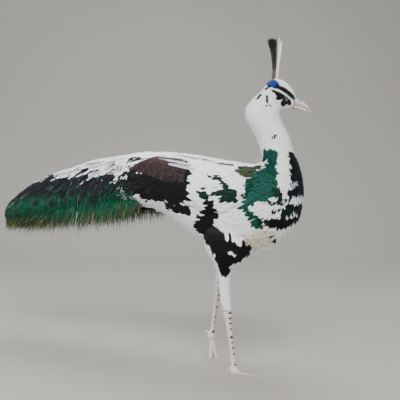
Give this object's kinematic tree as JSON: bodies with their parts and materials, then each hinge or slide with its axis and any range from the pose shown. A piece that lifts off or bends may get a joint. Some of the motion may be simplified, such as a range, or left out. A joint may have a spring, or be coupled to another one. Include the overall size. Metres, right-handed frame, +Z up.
{
  "type": "pied peacock figure",
  "caption": "Life-size standing peacock with white, black and green pied plumage, upright crest, turned head, folded wings and a short train.",
  "frame": {"origin": "on the floor, under the middle of the bounding box", "axes": "+X the way the trunk faces, +Y the bird's left side, +Z up"},
  "size_m": [1.0027, 0.2376, 0.837],
  "materials": {
    "body_plumage": "feathered skin over flesh",
    "white_plumage": "soft white feathers",
    "dark_plumage": "smooth black feathers",
    "train_plumage": "loose green and bronze feathers",
    "leg_skin": "scaly skin",
    "horn": "smooth horn",
    "eye": "wet and glossy"
  },
  "bodies": {
    "root": {"back": "white_plumage", "bill_lower": "horn", "bill_upper": "horn", "breast": "body_plumage", "claw_left_hind": "horn", "claw_left_inner": "horn", "claw_left_middle": "horn", "claw_left_outer": "horn", "claw_right_hind": "horn", "claw_right_inner": "horn", "claw_right_middle": "horn", "claw_right_outer": "horn", "crest": "dark_plumage", "crest_white": "white_plumage", "eye_left": "eye", "eye_right": "eye", "head": "body_plumage", "neck_lower": "body_plumage", "neck_upper": "body_plumage", "rump": "white_plumage", "shank_left": "leg_skin", "shank_right": "leg_skin", "spur_left": "horn", "spur_right": "horn", "tail": "dark_plumage", "thigh_left": "body_plumage", "thigh_right": "body_plumage", "toe_left_hind": "leg_skin", "toe_left_inner": "leg_skin", "toe_left_middle": "leg_skin", "toe_left_outer": "leg_skin", "toe_right_hind": "leg_skin", "toe_right_inner": "leg_skin", "toe_right_middle": "leg_skin", "toe_right_outer": "leg_skin", "train": "train_plumage", "wing_left_coverts": "white_plumage", "wing_left_quills": "dark_plumage", "wing_right_coverts": "white_plumage", "wing_right_quills": "dark_plumage"}
  },
  "joints": []
}
